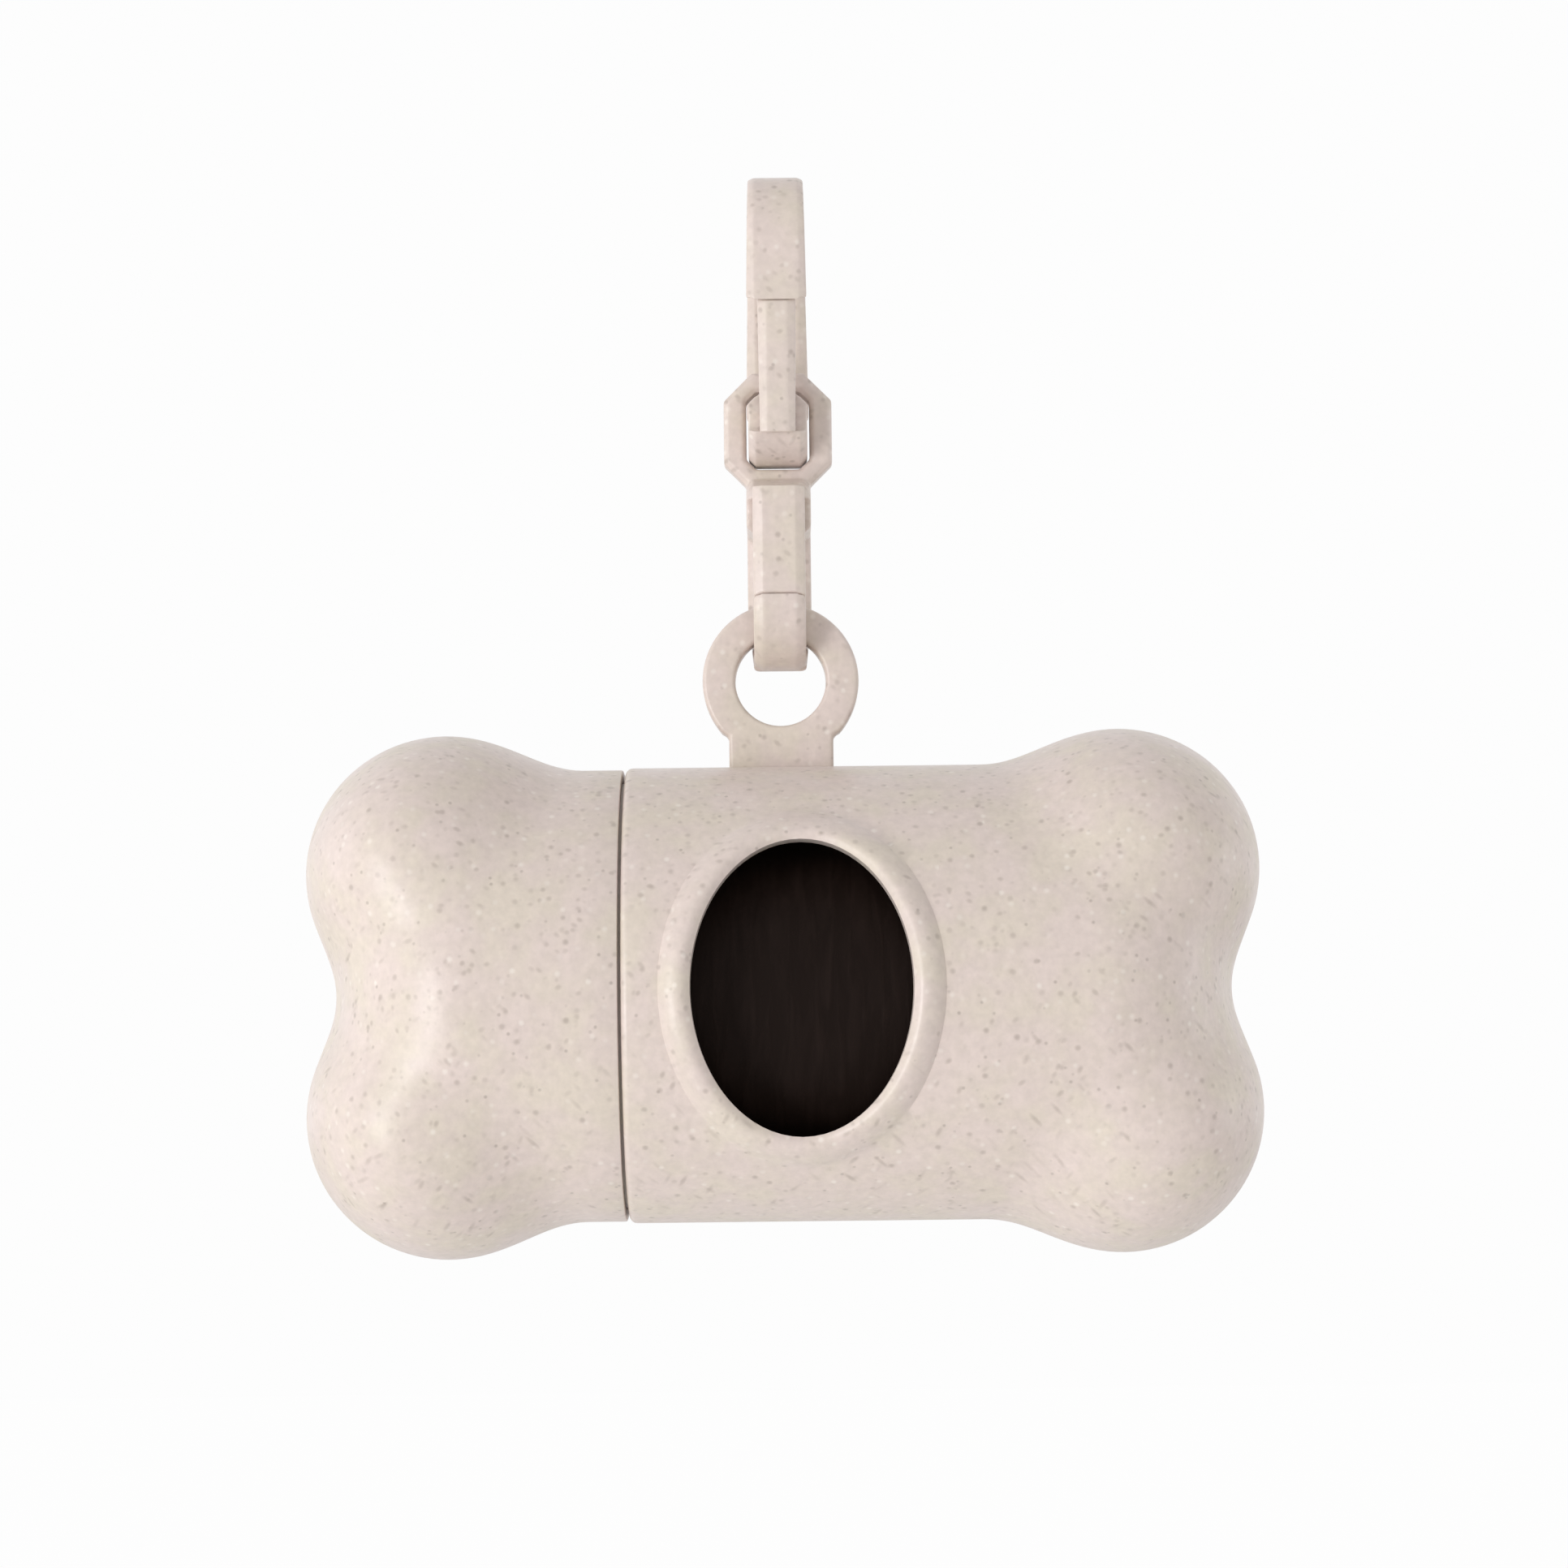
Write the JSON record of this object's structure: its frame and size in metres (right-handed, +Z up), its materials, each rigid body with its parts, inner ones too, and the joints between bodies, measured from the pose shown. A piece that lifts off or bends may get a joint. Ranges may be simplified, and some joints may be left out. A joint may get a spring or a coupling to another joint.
{
  "type": "dog poop bag dispenser",
  "caption": "Bone-shaped plastic holder for a roll of dog waste bags, with a pull-off cap, an oval dispensing window and a two-link snap clip to hang it from a lead.",
  "frame": {"origin": "centre of the bend of the upper hook, where the dispenser hangs", "axes": "+X along the bone towards its closed end, away from the cap; -Y is the front with the window; +Z up, along the clip"},
  "size_m": [0.0838, 0.0409, 0.0958],
  "materials": {
    "straw_plastic": "satin",
    "bag_film": "satin",
    "core_board": "matte"
  },
  "bodies": {
    "upper_link": {"upper_link": "straw_plastic"},
    "upper_gate": {"upper_gate": "straw_plastic"},
    "lower_link": {"lower_link": "straw_plastic"},
    "lower_gate": {"lower_gate": "straw_plastic"},
    "housing": {"housing": "straw_plastic"},
    "cap": {"cap": "straw_plastic"},
    "roll": {"bag_roll": "bag_film", "roll_core": "core_board"}
  },
  "joints": [
    {"name": "upper_gate_press", "type": "hinge", "parent": "upper_link", "child": "upper_gate", "pos_m": [0, -0.005, -0.01618], "axis": [-1, 0, 0], "range_deg": [0, 22], "stiffness_Nm_per_rad": 0.02},
    {"name": "clip_swing", "type": "hinge", "parent": "upper_link", "child": "lower_link", "pos_m": [0, 0, -0.0137], "axis": [1, 0, 0], "range_deg": [-25, 25]},
    {"name": "lower_gate_press", "type": "hinge", "parent": "lower_link", "child": "lower_gate", "pos_m": [0, -0.0044, -0.02431], "axis": [1, 0, 0], "range_deg": [0, 22], "stiffness_Nm_per_rad": 0.02},
    {"name": "bone_swing", "type": "hinge", "parent": "lower_link", "child": "housing", "pos_m": [0, 0, -0.03904], "axis": [0, 1, 0], "range_deg": [-60, 60]},
    {"name": "cap_pull", "type": "slide", "parent": "housing", "child": "cap", "axis": [-1, 0, 0], "range_m": [0, 0.045]},
    {"name": "roll_spin", "type": "hinge", "parent": "housing", "child": "roll", "pos_m": [0, 0, -0.06734], "axis": [1, 0, 0], "continuous": true}
  ]
}
